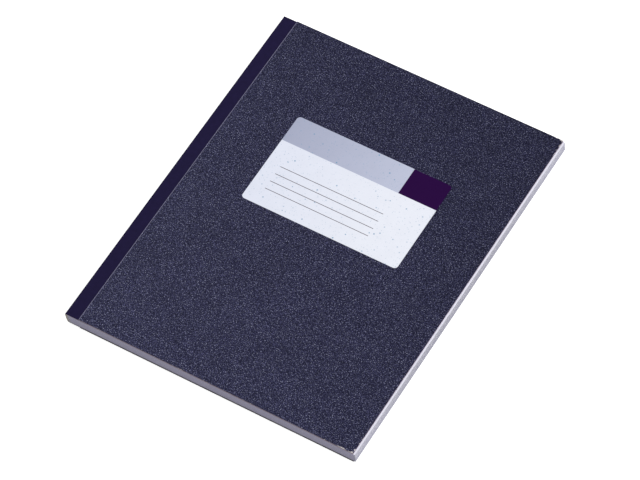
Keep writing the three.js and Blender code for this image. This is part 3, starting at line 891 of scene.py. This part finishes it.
def label_paper():
    """Flecked paper with its printed band, block and lines, placed from the label's corners."""
    material, tree, shader = start_material("label_paper", roughness=0.6)
    low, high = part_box("title_label")
    place = add_node(tree, "ShaderNodeTexCoord").outputs["Object"]
    block_left = high.x - BLOCK_WIDTH
    band_low = high.y - BAND_HEIGHT
    band = (low.x - BLEED, block_left, band_low, high.y + BLEED)
    block = (block_left, high.x + BLEED, band_low, high.y + BLEED)
    axes = add_node(tree, "ShaderNodeSeparateXYZ", {0: place})
    along = calculate(tree, "SUBTRACT", axes.outputs["X"], low.x)
    along = calculate(tree, "DIVIDE", along, block_left - low.x, clamp=True)
    # The band grows lighter to the right: partly a gradient in the print, partly painted light from
    # the lamp at the right
    band_ink = blend_colours(tree, along, colour(168, 173, 196), colour(191, 196, 217))
    block_ink = colour(39, 4, 61)
    line_ink = colour(70, 54, 60)
    prints = [(band, band_ink), (block, block_ink)]
    for line in range(WRITING_LINES):
        y = high.y - FIRST_LINE_DOWN - line * LINE_SPACING
        left = low.x + LINES_FROM_LEFT
        bar = (left, left + LINES_LENGTH, y - LINE_WIDTH / 2, y + LINE_WIDTH / 2)
        prints.append((bar, line_ink))
    # The paper is painted lighter towards the right: painted light from the lamp at the right
    shade = blend_colours(tree, along, colour(227, 231, 245), colour(234, 237, 247))
    for bar, ink in prints:
        shade = blend_colours(tree, bar_mask(tree, place, bar), shade, ink)
    large = flecks(tree, place, scale=420.0, size=0.22, share=0.4)
    small = flecks(tree, place, scale=1000.0, size=0.32, share=0.5)
    small = calculate(tree, "MULTIPLY", small, SMALL_FLECK_STRENGTH)
    beside_block = calculate(tree, "SUBTRACT", 1.0, bar_mask(tree, place, block))
    spots = calculate(tree, "MAXIMUM", large, small)
    spots = calculate(tree, "MULTIPLY", spots, beside_block)
    blue_fleck = colour(108, 152, 184)
    shade = blend_colours(tree, spots, shade, blue_fleck)
    add_fibres(tree, shader, place, shade, contrast=0.06, relief=PAPER_RELIEF)
    shader.inputs["Specular IOR Level"].default_value = 0.05
    return material


finish_node("title_label", label_paper())


# The room: a plain pale floor, a soft light at the right and a weaker one at the left, and the
# camera of the photograph, which looks down on the book from the right of its tail.
FLOOR_SIZE = 6.0
FLOOR_GREY = (0.55, 0.55, 0.55, 1.0)
FLOOR_GLOW = 0.85
WHITE = (1.0, 1.0, 1.0, 1.0)
SKY_LIGHT = 0.35
# The floor opens where less than this share of the rays down to this depth finds nothing
NEAR_BELOW = 80 * MM
RAYS_BELOW = 64
NOTHING_BELOW = 0.999
# The camera was fitted to the corners and the outline of the book in the photograph
AZIMUTH = math.radians(34.31)
ELEVATION = math.radians(55.97)
ROLL = math.radians(-4.38)
TARGET = Vector((5.08, -6.75, 7.86)) * MM
DISTANCE = 1.8563
LENS = 210.0

floor_mesh = bpy.data.meshes.new("floor")
reach = FLOOR_SIZE / 2
floor_corners = [(-reach, -reach, 0), (reach, -reach, 0), (reach, reach, 0), (-reach, reach, 0)]
floor_mesh.from_pydata(floor_corners, [], [(0, 1, 2, 3)])
floor = bpy.data.objects.new("floor", floor_mesh)
bpy.context.scene.collection.objects.link(floor)
floor_material, floor_tree, floor_shader = start_material("pale_floor", roughness=0.9)
floor_shader.inputs["Base Color"].default_value = FLOOR_GREY
floor_shader.inputs["Emission Color"].default_value = WHITE
seen = add_node(floor_tree, "ShaderNodeLightPath").outputs["Is Camera Ray"]
glow = calculate(floor_tree, "MULTIPLY", seen, FLOOR_GLOW)
floor_tree.links.new(glow, floor_shader.inputs["Emission Strength"])


def mix_shaders(tree, mask, first, second):
    """The first shader where the mask is 0 and the second one where it is 1."""
    return add_node(tree, "ShaderNodeMixShader", {0: mask, 1: first, 2: second}).outputs[0]


# The rear hinge turns half of the book to below the floor's plane, where the book has been lifted.
# So the camera looks through the floor where something is close below it. From below the floor is
# clear to every ray, so the light reaches that half too.
sockets = {"Distance": NEAR_BELOW}
below = add_node(floor_tree, "ShaderNodeAmbientOcclusion", sockets, samples=RAYS_BELOW, inside=True)
below = calculate(floor_tree, "LESS_THAN", below.outputs["AO"], NOTHING_BELOW)
from_below = add_node(floor_tree, "ShaderNodeNewGeometry").outputs["Backfacing"]
solid = floor_shader.outputs[0]
clear = add_node(floor_tree, "ShaderNodeBsdfTransparent").outputs[0]
opened = mix_shaders(floor_tree, below, solid, clear)
surface = mix_shaders(floor_tree, seen, solid, opened)
surface = mix_shaders(floor_tree, from_below, surface, clear)
floor_tree.links.new(surface, floor_tree.nodes["Material Output"].inputs["Surface"])
floor_mesh.materials.append(floor_material)

world = bpy.data.worlds.new("studio")
world.use_nodes = True
background = world.node_tree.nodes["Background"]
background.inputs["Color"].default_value = WHITE
sky_seen = add_node(world.node_tree, "ShaderNodeLightPath").outputs["Is Camera Ray"]
strength = calculate(world.node_tree, "MULTIPLY_ADD", sky_seen, 1.0 - SKY_LIGHT, SKY_LIGHT)
world.node_tree.links.new(strength, background.inputs["Strength"])
bpy.context.scene.world = world


def soft_light(name, place, size, power):
    """A square area light at a place, turned to the middle of the book."""
    data = bpy.data.lights.new(name, "AREA")
    data.size = size
    data.energy = power
    light = bpy.data.objects.new(name, data)
    light.location = place
    light.rotation_euler = (-Vector(place)).to_track_quat("-Z", "Y").to_euler()
    bpy.context.scene.collection.objects.link(light)


soft_light("key", place=(0.58, 0.08, 0.76), size=0.4, power=5.2)
soft_light("left", place=(-0.42, 0.2, 0.55), size=0.35, power=1.5)

level_reach = math.cos(ELEVATION)
back_x, back_y = math.sin(AZIMUTH) * level_reach, -math.cos(AZIMUTH) * level_reach
back = Vector((back_x, back_y, math.sin(ELEVATION)))
level = Vector((math.cos(AZIMUTH), math.sin(AZIMUTH), 0.0))
right = level * math.cos(ROLL) + back.cross(level) * math.sin(ROLL)
camera_data = bpy.data.cameras.new("camera")
camera_data.lens = LENS
camera = bpy.data.objects.new("camera", camera_data)
camera.matrix_world = Matrix((right, back.cross(right), back)).transposed().to_4x4()
camera.location = TARGET + back * DISTANCE
bpy.context.scene.collection.objects.link(camera)
bpy.context.scene.camera = camera
bpy.context.scene.view_settings.view_transform = "Standard"
